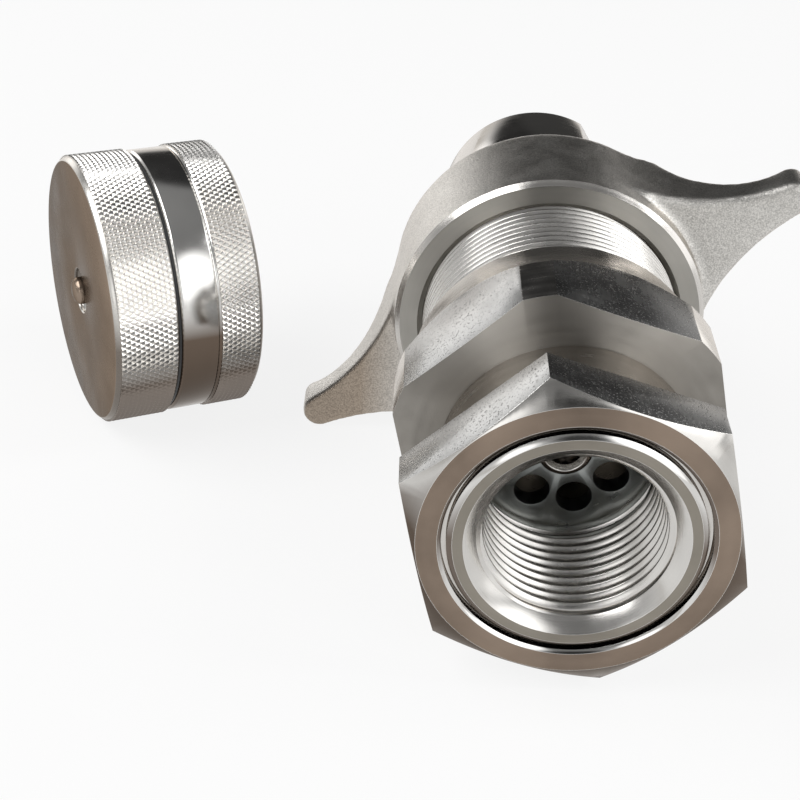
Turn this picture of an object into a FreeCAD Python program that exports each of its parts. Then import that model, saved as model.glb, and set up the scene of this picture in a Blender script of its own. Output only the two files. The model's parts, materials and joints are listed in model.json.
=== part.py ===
"""Hydraulic quick coupler with a wing nut, and its dust cap and dust plug screwed together.

Sizes are in millimetres. The coupler's axis is Y, with the front port towards -Y.
Every y below is measured from the front face of the first hexagon. At export all pieces
move by the countersink's depth, so that y = 0 is where the front port's thread begins.
"""
import FreeCAD, Part
import math
import os

V = FreeCAD.Vector

# Clearances, radial unless they say otherwise
RUN = 0.05                      # a piece that turns or slides in another
THREAD_FIT = 0.05               # between two plain cylinders that stand for a thread
SEATED = 0.02                   # a piece that is pressed or laid in its seat

# Wing nut's body. The second hexagon and the floor follow it, because both rest on the floor
NUT_R = 31.6

# Oil passage: every valve piece gets its radius from the rear body's
BODY_R = 21.0
ISLAND_R = BODY_R - 4.0
OPENING_R = ISLAND_R - 5.6      # hole in the valve face
CHAMBER_R = ISLAND_R + 1.1
FLOW_TAPER = 3.0                # length of the cones that lead the oil past the valve

# Ports: one-inch pipe thread, pitch 2.309
PORT_R = 16.625                 # wall of the hole at the thread's major diameter
COUNTERSINK_R = 18.85
COUNTERSINK = 2.2               # depth
FRONT_THREAD_END = 25.2
RELIEF_R = 17.2                 # groove behind the thread
RELIEF_END = 26.6

# Front port adapter: the first hexagon and its neck
HEX1_FLATS = 54.0
HEX1_LENGTH = 10.4
HEX_TURN = 14.0                 # degrees from the top to a corner of either hexagon
FACE_GROOVE = (21.6, 22.5)      # inner and outer radius
FACE_GROOVE_DEPTH = 2.4
NECK_R = 22.8
NECK_END = 26.6
SPIGOT_R = 21.0
SPIGOT_END = 43.9
ADAPTER_RING_Y = 29.6
RING_CORD = 0.75                # radius of the small seal rings' cord

# Guide for the poppet: plate with eight holes, skirt and bush
GUIDE_FRONT = 28.6
GUIDE_PLATE = 4.0
GUIDE_R = 17.85
GUIDE_SKIRT = 1.55
GUIDE_HOLES = 8
GUIDE_HOLE_R = 3.3
GUIDE_HOLE_CIRCLE = 10.3
GUIDE_TURN = -75.0              # degrees from +X to one of the holes
BUSH_R = 4.4
BUSH_HEAD_R = 5.0
BUSH_FRONT = GUIDE_FRONT - 0.8
BUSH_END = 46.0
STEM_R = 3.0

# Male half
HEX2_FLATS = 2 * (NUT_R - 2.6)
HEX2_CORNER_R = NUT_R + 0.3
HEX2_START = 28.0
HEX2_LAND_END = 41.0
HEX2_END = 46.0
COLLAR_R = 28.2
COLLAR_END = 54.5
THREAD_R = 26.0                 # M52 x 2
THREAD_ROOT_R = 24.6
THREAD_START = 57.8
MALE_END = 84.5
CUP_BOTTOM = 64.5
VALVE_FACE = 82.0               # the plane where both closed valves meet
FLOW_R = ISLAND_R - 2.2
SEAT_R = OPENING_R + 1.5
SEAT_DEPTH = 2.8
SEAT_LENGTH = 2.0
TRAVEL = 12.0                   # from first contact to fully open

# Poppet
POPPET_R = OPENING_R + 1.2
POPPET_BACK = 70.0
STEM_FRONT = 38.0
SPRING_CORD = 0.6
POPPET_SPRING_R = 5.2
POPPET_GROOVE = 0.9             # depth of the groove for its seal
POPPET_SEAL_CORD = 0.68

# Female half
NOSE_R = BODY_R
NOSE_FRONT = 78.0
SLEEVE_END = 94.0
NOSE_BORE_END = SLEEVE_END - 4.0
NOSE_SPIGOT_R = ISLAND_R + 2.45
NOSE_SPIGOT_END = 103.0
PACKING = (84.0, 86.6, 88.0)    # groove start, backup ring start, groove end
PACKING_FLOOR_R = ISLAND_R + 2.0
BODY_FRONT = 97.0
FLANGE_R = THREAD_ROOT_R
FLANGE_END = 100.8
CHAMBER_END = 112.0
RIB_R = CHAMBER_R - 4.7
BRIDGE_FRONT = 114.5
BRIDGE_R = CHAMBER_R - 3.0
BRIDGE_THICK = 4.5
BRIDGE_RING = 1.2
REAR_THREAD_START = 121.5
BODY_END = 140.0
WRENCH_FLATS = 36.0
WRENCH_START = 124.0
WRENCH_TURN = 32.6              # degrees from +X to the flats' normal

# Sleeve, fixed stem and sleeve spring
SLEEVE_R = ISLAND_R + RUN
SLEEVE_FLANGE_R = CHAMBER_R - RUN
SLEEVE_LIP = 5.0
SLEEVE_FLOW_R = ISLAND_R - 2.4
HEAD_R = OPENING_R - RUN
HEAD_LENGTH = 6.0
ROD_R = 5.0
SLEEVE_SPRING_R = CHAMBER_R - 1.7
SLEEVE_SPRING_CORD = 0.8

# Wing nut
NUT_FRONT = 75.6
NUT_END = 104.0
NUT_FACE_R = 27.0
NUT_LIP = 101.0                 # front of the inner lip that carries the load
WING_TURN = 31.0                # degrees from +X to the wings' line
WING_FRONT = 81.0
WING_TIP_R = 3.6
# Centre of the rounded tip. The lower wing's tip rests on the floor, as the nut's body does
WING_TIP_X = (NUT_R - WING_TIP_R) / math.sin(math.radians(WING_TURN))
WING_FLANK_R = 44.0
WING_WAIST = (42.0, 89.8)       # reach and y where the back of a wing is thinnest
WING_TIP_BACK = 92.3
WING_ROUND = 1.2
NUT_RING_Y = 104.3
NUT_RING = 1.4
NUT_RING_FLOOR_R = BODY_R - 1.1
NUT_RING_R = BODY_R + 2.2

# Dust cap and dust plug, along their own axis from the plug's outer face
PAIR_R = 28.2
BAND_R = 27.8
PLUG_HEAD = 13.1
PLUG_SEAL = 0.6                 # thickness
PLUG_SPIGOT_END = 24.5
PLUG_HOLLOW_R = 21.4
PLUG_WALL = 5.0
CAP_BAND_END = 21.3
CAP_END = 31.0
CAP_WALL = 3.0
EDGE = 1.1                      # bevel of the knurled rims
STUD_R = 2.0
STUD_HEAD_R = 2.9
STUD_POCKET_R = 4.6
PAIR_AT = (-97.75, 84.85)        # x and y of the plug's outer face
PAIR_TURN = 25.15               # degrees from +X to the pair's axis
FLOOR = -NUT_R                  # what the coupler lies on


def turned(points):
    """Solid of revolution about Y from a closed outline of (radius, y) points."""
    corners = [V(r, y, 0) for r, y in points]
    face = Part.Face(Part.makePolygon(corners + corners[:1]))
    return face.revolve(V(0, 0, 0), V(0, 1, 0), 360)


def tube(inner, outer, start, end):
    return turned([(inner, start), (outer, start), (outer, end), (inner, end)])


def rod(radius, start, end, x=0.0, z=0.0):
    return Part.makeCylinder(radius, end - start, V(x, start, z), V(0, 1, 0))


def cord_ring(radius, cord, y):
    return Part.makeTorus(radius, cord, V(0, y, 0), V(0, 1, 0))


def squeezed_ring(inner, outer, start, end):
    """Seal ring with rounded corners, as it looks when it is pressed in its groove."""
    ring = tube(inner, outer, start, end)
    return ring.makeFillet(0.3 * min(outer - inner, end - start), ring.Edges)


def hexagon(flats, start, end):
    """Hexagonal bar along Y with a corner HEX_TURN degrees past the top."""
    reach = flats / math.sqrt(3)
    angles = [math.radians(90 + HEX_TURN + 60 * i) for i in range(6)]
    corners = [V(reach * math.cos(a), start, reach * math.sin(a)) for a in angles]
    face = Part.Face(Part.makePolygon(corners + corners[:1]))
    return face.extrude(V(0, end - start, 0))


def holes_on_circle(count, circle, radius, first, start, end):
    drills = []
    for i in range(count):
        a = math.radians(first + 360 * i / count)
        drills.append(rod(radius, start, end, circle * math.cos(a), circle * math.sin(a)))
    return drills[0].fuse(drills[1:])


def coil_tube(radius, cord, start, end):
    """Plain tube that fills a coil spring's place."""
    return tube(radius - cord, radius + cord, start, end)


def front_port_adapter():
    corner = HEX1_FLATS / math.sqrt(3)
    flat = HEX1_FLATS / 2
    bevel = (corner - flat) * math.tan(math.radians(30))
    bar = turned([(0, 0), (flat, 0), (corner + 0.01, bevel), (corner + 0.01, HEX1_LENGTH), (0, HEX1_LENGTH)])
    bar = bar.common(hexagon(HEX1_FLATS, 0, HEX1_LENGTH))
    shank = turned([(0, HEX1_LENGTH - 1), (NECK_R, HEX1_LENGTH - 1), (NECK_R, NECK_END), (SPIGOT_R, NECK_END),
                    (SPIGOT_R, SPIGOT_END - 0.6), (SPIGOT_R - 0.6, SPIGOT_END), (0, SPIGOT_END)])
    bore = turned([(0, -1), (COUNTERSINK_R, -1), (COUNTERSINK_R, 0), (PORT_R, COUNTERSINK),
                   (PORT_R, FRONT_THREAD_END), (RELIEF_R, FRONT_THREAD_END), (RELIEF_R, RELIEF_END),
                   (PORT_R, RELIEF_END), (PORT_R, GUIDE_FRONT),
                   (GUIDE_R + 0.03, GUIDE_FRONT), (GUIDE_R + 0.03, SPIGOT_END + 1), (0, SPIGOT_END + 1)])
    groove = tube(FACE_GROOVE[0], FACE_GROOVE[1], -1, FACE_GROOVE_DEPTH)
    seat = tube(SPIGOT_R - 2 * RING_CORD, SPIGOT_R + 1, ADAPTER_RING_Y - RING_CORD - 0.1,
                ADAPTER_RING_Y + RING_CORD + 0.1)
    return bar.fuse(shank).cut(bore).cut(groove).cut(seat).removeSplitter()


def front_adapter_o_ring():
    return cord_ring(SPIGOT_R - RING_CORD, RING_CORD, ADAPTER_RING_Y)


def male_body():
    hex_part = turned([(0, NECK_END), (NECK_R, NECK_END), (HEX2_CORNER_R, HEX2_START),
                       (HEX2_CORNER_R, HEX2_LAND_END),
                       (HEX2_CORNER_R - (HEX2_END - HEX2_LAND_END) * math.tan(math.radians(30)), HEX2_END),
                       (0, HEX2_END)])
    hex_part = hex_part.common(hexagon(HEX2_FLATS, NECK_END - 1, HEX2_END + 1))
    barrel = turned([(0, HEX2_END - 1), (COLLAR_R, HEX2_END - 1), (COLLAR_R, COLLAR_END - 0.5),
                     (COLLAR_R - 0.5, COLLAR_END), (THREAD_ROOT_R, COLLAR_END), (THREAD_ROOT_R, THREAD_START - 1),
                     (THREAD_R, THREAD_START), (THREAD_R, MALE_END - 1), (THREAD_R - 1, MALE_END), (0, MALE_END)])
    cup = tube(ISLAND_R, NOSE_R + RUN, CUP_BOTTOM, MALE_END + 1)
    above = rod(ISLAND_R + 1, VALVE_FACE, MALE_END + 1)
    bore = turned([(0, NECK_END - 1), (SPIGOT_R + 0.03, NECK_END - 1), (SPIGOT_R + 0.03, SPIGOT_END + 0.1),
                   (FLOW_R, SPIGOT_END + 0.1), (FLOW_R, VALVE_FACE - SEAT_DEPTH - SEAT_LENGTH - 1.2),
                   (SEAT_R, VALVE_FACE - SEAT_DEPTH - SEAT_LENGTH), (OPENING_R, VALVE_FACE - SEAT_DEPTH),
                   (OPENING_R, VALVE_FACE + 1), (0, VALVE_FACE + 1)])
    return hex_part.fuse(barrel).cut(cup).cut(above).cut(bore).removeSplitter()


def valve_guide():
    back = GUIDE_FRONT + GUIDE_PLATE
    plate = tube(BUSH_R + SEATED, GUIDE_R, GUIDE_FRONT, back)
    skirt = tube(GUIDE_R - GUIDE_SKIRT, GUIDE_R, back - 0.5, SPIGOT_END + 0.1)
    holes = holes_on_circle(GUIDE_HOLES, GUIDE_HOLE_CIRCLE, GUIDE_HOLE_R, GUIDE_TURN, GUIDE_FRONT - 1, back + 1)
    return plate.fuse(skirt).cut(holes).removeSplitter()


def guide_bush():
    return turned([(STEM_R + 1.0, BUSH_FRONT), (BUSH_HEAD_R - 0.4, BUSH_FRONT), (BUSH_HEAD_R, BUSH_FRONT + 0.4),
                   (BUSH_HEAD_R, GUIDE_FRONT), (BUSH_R, GUIDE_FRONT), (BUSH_R, BUSH_END), (STEM_R + RUN, BUSH_END),
                   (STEM_R + RUN, BUSH_FRONT + 0.8)])


def poppet():
    face = OPENING_R - RUN
    cone = VALVE_FACE - SEAT_DEPTH
    slope = (SEAT_R - OPENING_R) / SEAT_LENGTH
    rim = cone - (POPPET_R - face) / slope
    body = turned([(0, STEM_FRONT), (STEM_R - 0.5, STEM_FRONT), (STEM_R, STEM_FRONT + 0.5), (STEM_R, POPPET_BACK),
                   (POPPET_SPRING_R + 1.4, POPPET_BACK), (POPPET_SPRING_R + 1.4, POPPET_BACK + 2),
                   (POPPET_R, rim - 1.6), (POPPET_R, rim), (face, cone), (face, VALVE_FACE), (0, VALVE_FACE)])
    groove = tube(face - POPPET_GROOVE, POPPET_R + 1, cone - 1.6, cone)
    return body.cut(groove)


def poppet_seal():
    radius = OPENING_R - RUN - POPPET_GROOVE + POPPET_SEAL_CORD + SEATED
    return cord_ring(radius, POPPET_SEAL_CORD, VALVE_FACE - SEAT_DEPTH - POPPET_GROOVE + SEATED)


def poppet_spring():
    return coil_tube(POPPET_SPRING_R, SPRING_CORD, GUIDE_FRONT + GUIDE_PLATE, POPPET_BACK)


def female_nose():
    tip = turned([(ISLAND_R + 0.1, NOSE_FRONT + 0.8), (ISLAND_R + 0.9, NOSE_FRONT), (NOSE_R - 0.8, NOSE_FRONT),
                  (NOSE_R, NOSE_FRONT + 0.8), (NOSE_R, BODY_FRONT), (NOSE_SPIGOT_R, BODY_FRONT),
                  (NOSE_SPIGOT_R, NOSE_SPIGOT_END), (CHAMBER_R, NOSE_SPIGOT_END), (CHAMBER_R, NOSE_BORE_END),
                  (ISLAND_R + 0.1, NOSE_BORE_END)])
    groove = tube(ISLAND_R, PACKING_FLOOR_R, PACKING[0], PACKING[2])
    return tip.cut(groove)


def packing_o_ring():
    return squeezed_ring(ISLAND_R + 0.1, PACKING_FLOOR_R - SEATED, PACKING[0] + SEATED, PACKING[1] - SEATED)


def backup_ring():
    return tube(ISLAND_R + 0.1, PACKING_FLOOR_R - SEATED, PACKING[1], PACKING[2] - SEATED)


def female_body():
    outside = turned([(0, BODY_FRONT), (FLANGE_R - 0.4, BODY_FRONT), (FLANGE_R, BODY_FRONT + 0.4),
                      (FLANGE_R, FLANGE_END), (BODY_R, FLANGE_END), (BODY_R, BODY_END - 0.8),
                      (BODY_R - 0.8, BODY_END), (0, BODY_END)])
    bore = turned([(0, BODY_FRONT - 1), (NOSE_SPIGOT_R + 0.03, BODY_FRONT - 1),
                   (NOSE_SPIGOT_R + 0.03, NOSE_SPIGOT_END), (CHAMBER_R, NOSE_SPIGOT_END), (CHAMBER_R, CHAMBER_END),
                   (RIB_R, CHAMBER_END), (RIB_R, BRIDGE_FRONT), (BRIDGE_R, BRIDGE_FRONT),
                   (BRIDGE_R, REAR_THREAD_START), (PORT_R, REAR_THREAD_START), (PORT_R, BODY_END - 1.5),
                   (PORT_R + 1.5, BODY_END), (PORT_R + 1.5, BODY_END + 1), (0, BODY_END + 1)])
    ring_start = BRIDGE_FRONT + BRIDGE_THICK
    ring_groove = tube(BRIDGE_R - 1, BRIDGE_R + 0.9, ring_start, ring_start + BRIDGE_RING + 0.05)
    nut_groove = tube(NUT_RING_FLOOR_R, BODY_R + 1, NUT_RING_Y, NUT_RING_Y + NUT_RING + 0.05)
    solid = outside.cut(bore).cut(ring_groove).cut(nut_groove)
    for side in (0, 180):
        slab = Part.makeBox(10, BODY_END, 60, V(WRENCH_FLATS / 2, WRENCH_START, -30))
        slab.rotate(V(0, 0, 0), V(0, 1, 0), -(WRENCH_TURN + side))
        solid = solid.cut(slab)
    return solid.removeSplitter()


def nut_retaining_ring():
    ring = tube(NUT_RING_FLOOR_R + SEATED, NUT_RING_R, NUT_RING_Y + SEATED, NUT_RING_Y + NUT_RING)
    gap = Part.makeBox(5, NUT_RING + 2, 20, V(-2.5, NUT_RING_Y - 1, -30))
    return ring.cut(gap)


def bridge_retaining_ring():
    start = BRIDGE_FRONT + BRIDGE_THICK
    ring = tube(BRIDGE_R - 1.6, BRIDGE_R + 0.8, start, start + BRIDGE_RING)
    gap = Part.makeBox(6, BRIDGE_RING + 2, 20, V(-3, start - 1, 5))
    return ring.cut(gap)


def stem_bridge():
    disc = tube(ROD_R - 1, BRIDGE_R - 0.03, BRIDGE_FRONT, BRIDGE_FRONT + BRIDGE_THICK)
    middle = (BRIDGE_R + ROD_R) / 2
    holes = holes_on_circle(6, middle, BRIDGE_R - middle - 1.75, 30, BRIDGE_FRONT - 1, BRIDGE_FRONT + BRIDGE_THICK + 1)
    return disc.cut(holes)


def fixed_valve_stem():
    back = VALVE_FACE + HEAD_LENGTH
    end = BRIDGE_FRONT + BRIDGE_THICK + 1.5
    body = turned([(0, VALVE_FACE), (HEAD_R - 0.2, VALVE_FACE), (HEAD_R, VALVE_FACE + 0.2), (HEAD_R, back),
                   (ROD_R, back + FLOW_TAPER), (ROD_R, BRIDGE_FRONT), (ROD_R - 1, BRIDGE_FRONT), (ROD_R - 1, end - 0.5),
                   (ROD_R - 1.5, end), (0, end)])
    groove = tube(HEAD_R - 2 * RING_CORD, HEAD_R + 1, VALVE_FACE + 1.8, VALVE_FACE + 2 + 2 * RING_CORD)
    return body.cut(groove)


def stem_seal():
    return cord_ring(HEAD_R - RING_CORD, RING_CORD, VALVE_FACE + 1.9 + RING_CORD)


def valve_sleeve():
    lip = VALVE_FACE + SLEEVE_LIP
    step = NOSE_BORE_END
    return turned([(HEAD_R + RUN, VALVE_FACE), (SLEEVE_R, VALVE_FACE), (SLEEVE_R, step), (SLEEVE_FLANGE_R, step),
                   (SLEEVE_FLANGE_R, SLEEVE_END), (SLEEVE_FLOW_R, SLEEVE_END), (SLEEVE_FLOW_R, lip + FLOW_TAPER),
                   (HEAD_R + RUN, lip)])


def sleeve_spring():
    return coil_tube(SLEEVE_SPRING_R, SLEEVE_SPRING_CORD, SLEEVE_END, CHAMBER_END)


def wing_outline():
    """One wing seen along the axis, reaching towards +X, cut from a plate along Y."""
    far = NUT_R + WING_FLANK_R
    tip_reach = WING_FLANK_R + WING_TIP_R
    cx = (far ** 2 - tip_reach ** 2 + WING_TIP_X ** 2) / (2 * WING_TIP_X)
    cz = math.sqrt(far ** 2 - cx ** 2)
    on_tip = V(cx + (WING_TIP_X - cx) * WING_FLANK_R / tip_reach, 0, cz - cz * WING_FLANK_R / tip_reach)
    on_nut = V(cx * NUT_R / far, 0, cz * NUT_R / far)
    mid_angle = (math.atan2(on_tip.z - cz, on_tip.x - cx) + math.atan2(on_nut.z - cz, on_nut.x - cx)) / 2
    middle = V(cx + WING_FLANK_R * math.cos(mid_angle), 0, cz + WING_FLANK_R * math.sin(mid_angle))

    def low(p):
        return V(p.x, p.y, -p.z)

    root = V(NUT_R * 0.6, 0, 0)
    edges = [Part.Arc(on_nut, middle, on_tip).toShape(),
             Part.Arc(on_tip, V(WING_TIP_X + WING_TIP_R, 0, 0), low(on_tip)).toShape(),
             Part.Arc(low(on_tip), low(middle), low(on_nut)).toShape(),
             Part.makeLine(low(on_nut), root), Part.makeLine(root, on_nut)]
    return Part.Face(Part.Wire(edges))


def wing():
    plate = wing_outline().extrude(V(0, NUT_END, 0))
    reach = WING_TIP_X + WING_TIP_R + 1
    inner = NUT_R * 0.5
    front = Part.makePolygon([V(inner, NUT_LIP - 2, -NUT_R), V(inner, WING_FRONT, -NUT_R),
                              V(reach, WING_FRONT, -NUT_R), V(reach, WING_TIP_BACK, -NUT_R)])
    back = Part.Arc(V(reach, WING_TIP_BACK, -NUT_R), V(WING_WAIST[0], WING_WAIST[1], -NUT_R),
                    V(NUT_R, NUT_LIP - 2, -NUT_R)).toShape()
    close = Part.makeLine(V(NUT_R, NUT_LIP - 2, -NUT_R), V(inner, NUT_LIP - 2, -NUT_R))
    side = Part.Face(Part.Wire(front.Edges + [back, close])).extrude(V(0, 0, 2 * NUT_R))
    solid = plate.common(side)
    outer = [e for e in solid.Edges if e.BoundBox.XMax > NUT_R + 3]
    return solid.makeFillet(WING_ROUND, outer)


def wing_nut():
    shell = turned([(NUT_FACE_R, NUT_FRONT), (NUT_R - 1.0, NUT_FRONT + 0.2), (NUT_R, NUT_FRONT + 1.2),
                    (NUT_R, NUT_END - 4.5), (NUT_R - 0.8, NUT_END - 2.2), (NUT_R - 2.8, NUT_END - 0.6),
                    (NUT_R - 5.0, NUT_END), (BODY_R + RUN, NUT_END), (BODY_R + RUN, NUT_LIP),
                    (THREAD_R + THREAD_FIT, NUT_LIP), (THREAD_R + THREAD_FIT, NUT_FRONT + 1.4)])
    room = rod(THREAD_R + THREAD_FIT + 1, NUT_FRONT - 1, NUT_LIP)
    for side in (0, 180):
        ear = wing()
        ear.rotate(V(0, 0, 0), V(0, 1, 0), -(WING_TURN + side))
        shell = shell.fuse(ear.cut(room))
    return shell.removeSplitter()


def dust_plug():
    body = turned([(0, 0), (PAIR_R - EDGE, 0), (PAIR_R, EDGE), (PAIR_R, PLUG_HEAD - 0.5), (PAIR_R - 0.5, PLUG_HEAD),
                   (THREAD_R - 1.2, PLUG_HEAD), (THREAD_R - 1.2, PLUG_HEAD + 1.6), (THREAD_R, PLUG_HEAD + 2.6),
                   (THREAD_R, PLUG_SPIGOT_END - 1), (THREAD_R - 1, PLUG_SPIGOT_END), (PLUG_HOLLOW_R, PLUG_SPIGOT_END),
                   (PLUG_HOLLOW_R, PLUG_WALL), (0, PLUG_WALL)])
    pocket = turned([(0, -1), (STUD_POCKET_R, -1), (STUD_POCKET_R, 0.8), (STUD_HEAD_R + 0.5, 1.8), (0, 1.8)])
    return body.cut(pocket).cut(rod(STUD_R + RUN, 0, PLUG_WALL + 1))


def dust_plug_o_ring():
    return tube(THREAD_R - 1.15, PAIR_R - 0.9, PLUG_HEAD, PLUG_HEAD + PLUG_SEAL)


def stud(seat, outward, shank):
    """Lanyard stud with a domed head. outward is -1 or 1 along the pair's axis."""
    return turned([(0, seat + outward * 3.4), (STUD_HEAD_R - 1.2, seat + outward * 3.4),
                   (STUD_HEAD_R, seat + outward * 2.4), (STUD_HEAD_R, seat), (STUD_R, seat),
                   (STUD_R, seat - outward * shank), (0, seat - outward * shank)])


def dust_plug_stud():
    return stud(1.8, -1, PLUG_WALL - 1.8 + 0.6)


def dust_cap_stud():
    return stud(CAP_END, 1, CAP_WALL)


def dust_cap():
    start = PLUG_HEAD + PLUG_SEAL
    inside = CAP_END - CAP_WALL
    bore = THREAD_R + THREAD_FIT
    body = turned([(bore + 0.6, start), (BAND_R - 0.4, start), (BAND_R, start + 0.4), (BAND_R, CAP_BAND_END),
                   (PAIR_R - 0.1, CAP_BAND_END + 0.6), (PAIR_R, CAP_BAND_END + 0.8), (PAIR_R, CAP_END - EDGE),
                   (PAIR_R - EDGE, CAP_END), (0, CAP_END), (0, inside), (bore, inside), (bore, start + 0.6)])
    return body.cut(rod(STUD_R + SEATED, inside - 1, CAP_END + 1))


def dust_cap_gasket():
    inside = CAP_END - CAP_WALL
    return tube(THREAD_R - 6, THREAD_R - 0.3, inside - 1.6, inside)


def lay_down(shape):
    """Turn a piece of the dust pair from its own axis to where it lies beside the coupler."""
    shape.rotate(V(0, 0, 0), V(0, 0, 1), PAIR_TURN - 90)
    shape.translate(V(PAIR_AT[0], PAIR_AT[1], FLOOR + PAIR_R))
    return shape


def main():
    os.makedirs("parts", exist_ok=True)
    coupler = [front_port_adapter, front_adapter_o_ring, male_body, valve_guide, guide_bush, poppet, poppet_seal,
               poppet_spring, female_nose, packing_o_ring, backup_ring, female_body, nut_retaining_ring,
               bridge_retaining_ring, stem_bridge, fixed_valve_stem, stem_seal, valve_sleeve, sleeve_spring,
               wing_nut]
    pair = [dust_plug, dust_plug_o_ring, dust_plug_stud, dust_cap, dust_cap_stud, dust_cap_gasket]
    for make in coupler + pair:
        shape = make()
        if make in pair:
            lay_down(shape)
        shape.translate(V(0, -COUNTERSINK, 0))
        shape.exportStep("parts/" + make.__name__ + ".step")
        print(make.__name__, len(shape.Solids), round(shape.Volume, 1), shape.isValid())


main()
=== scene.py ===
# %% [markdown]
# # A hydraulic quick coupler, with its dust cap and dust plug
#
# The coupler joins two one-inch hoses. Its male half ends in a big hexagon with a threaded port, and a
# cast nut with two wings draws that half into the female half behind it. The dust cap and the dust plug
# lie beside it, screwed together. Every solid of the CAD model is loaded first and stays where it is.
# Each cell below then makes one real piece in finer detail and lets it stand in for its CAD solid.

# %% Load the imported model
import bpy
import json
import math
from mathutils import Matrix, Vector

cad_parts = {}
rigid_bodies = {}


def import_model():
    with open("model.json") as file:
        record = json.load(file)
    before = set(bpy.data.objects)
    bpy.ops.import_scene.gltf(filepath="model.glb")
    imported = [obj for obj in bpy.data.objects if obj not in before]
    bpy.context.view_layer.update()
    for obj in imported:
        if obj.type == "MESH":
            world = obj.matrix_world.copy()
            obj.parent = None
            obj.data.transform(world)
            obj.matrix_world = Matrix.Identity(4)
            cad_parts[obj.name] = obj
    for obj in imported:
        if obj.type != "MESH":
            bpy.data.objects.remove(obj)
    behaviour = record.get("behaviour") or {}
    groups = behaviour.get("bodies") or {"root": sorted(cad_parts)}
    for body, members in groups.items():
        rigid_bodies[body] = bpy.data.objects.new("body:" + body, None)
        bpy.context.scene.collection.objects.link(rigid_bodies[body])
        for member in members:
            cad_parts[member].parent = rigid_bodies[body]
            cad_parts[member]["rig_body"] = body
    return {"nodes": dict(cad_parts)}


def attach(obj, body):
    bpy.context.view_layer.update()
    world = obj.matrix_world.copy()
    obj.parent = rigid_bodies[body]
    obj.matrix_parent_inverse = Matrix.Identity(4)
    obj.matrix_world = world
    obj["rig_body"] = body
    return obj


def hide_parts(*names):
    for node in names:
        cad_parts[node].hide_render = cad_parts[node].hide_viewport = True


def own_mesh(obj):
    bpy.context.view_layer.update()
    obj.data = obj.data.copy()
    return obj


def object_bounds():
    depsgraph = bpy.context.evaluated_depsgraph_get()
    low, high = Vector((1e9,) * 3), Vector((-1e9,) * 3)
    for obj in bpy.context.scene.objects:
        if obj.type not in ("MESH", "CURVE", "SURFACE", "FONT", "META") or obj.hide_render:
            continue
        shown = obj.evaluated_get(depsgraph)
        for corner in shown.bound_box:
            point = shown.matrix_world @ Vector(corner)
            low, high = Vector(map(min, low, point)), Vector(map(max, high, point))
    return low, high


for start_object in list(bpy.data.objects):
    bpy.data.objects.remove(start_object, do_unlink=True)
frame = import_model()
cad_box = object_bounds()
nodes = frame["nodes"]
print("CAD solids:", len(nodes))

# %% [markdown]
# ## Sizes and small tools
#
# Sizes are written in millimetres, as on a drawing, and y is counted from the front face of the first
# hexagon. The CAD model has its origin a little deeper, at the bottom of the port's countersink, and a
# finished piece moves by that much. The front face and the floor are read from the CAD model's box.
# Blender's operators act on what is selected, so the tools below always select one piece first.

# %% Units and small tools
MM = 0.001
ORIGIN = -round(min(corner[1] for corner in cad_box) / MM, 1)
FLOOR = round(min(corner[2] for corner in cad_box) / MM, 1)
WELD = 4e-6


def only(obj):
    """Leave edit mode, and make obj the one selected and active object."""
    if bpy.context.mode != "OBJECT":
        bpy.ops.object.mode_set(mode="OBJECT")
    bpy.ops.object.select_all(action="DESELECT")
    obj.select_set(True)
    bpy.context.view_layer.objects.active = obj
    return obj


def apply_place(obj):
    """Write the object's place into its mesh, so that the object itself sits at the origin."""
    only(obj)
    bpy.ops.object.transform_apply(location=True, rotation=True, scale=True)
    return obj


def turn(obj, degrees):
    """Turn a piece about the coupler's axis, from +X towards +Z."""
    obj.rotation_euler = (0, -math.radians(degrees), 0)
    return apply_place(obj)


def modify(obj, kind, **settings):
    """Give obj a modifier with these settings and apply it at once."""
    only(obj)
    bpy.ops.object.modifier_add(type=kind)
    modifier = obj.modifiers[-1]
    for key, value in settings.items():
        setattr(modifier, key, value)
    bpy.ops.object.modifier_apply(modifier=modifier.name)
    return obj


def edit_all(obj):
    """Open obj in edit mode with its whole mesh selected."""
    only(obj)
    bpy.ops.object.mode_set(mode="EDIT")
    bpy.ops.mesh.select_all(action="SELECT")


def close_mesh(gap=WELD):
    """Merge corners that touch, turn every face outward and leave edit mode."""
    bpy.ops.mesh.select_all(action="SELECT")
    bpy.ops.mesh.remove_doubles(threshold=gap)
    bpy.ops.mesh.normals_make_consistent(inside=False)
    bpy.ops.object.mode_set(mode="OBJECT")


only(nodes["male_body"])
print("front face at y =", -ORIGIN, "mm, floor at z =", FLOOR, "mm")

# %% [markdown]
# ## Turning a piece on the lathe
#
# Nearly every piece of a coupler is turned from bar. A cylinder primitive could be cut step by step, but
# the way a lathe hand thinks is quicker: draw half of the section, then spin it. One vertex is extruded
# from point to point along the outline, and the Spin tool carries the outline once round the axis. An
# outline that starts and ends on the axis needs no closing edge.

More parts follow.
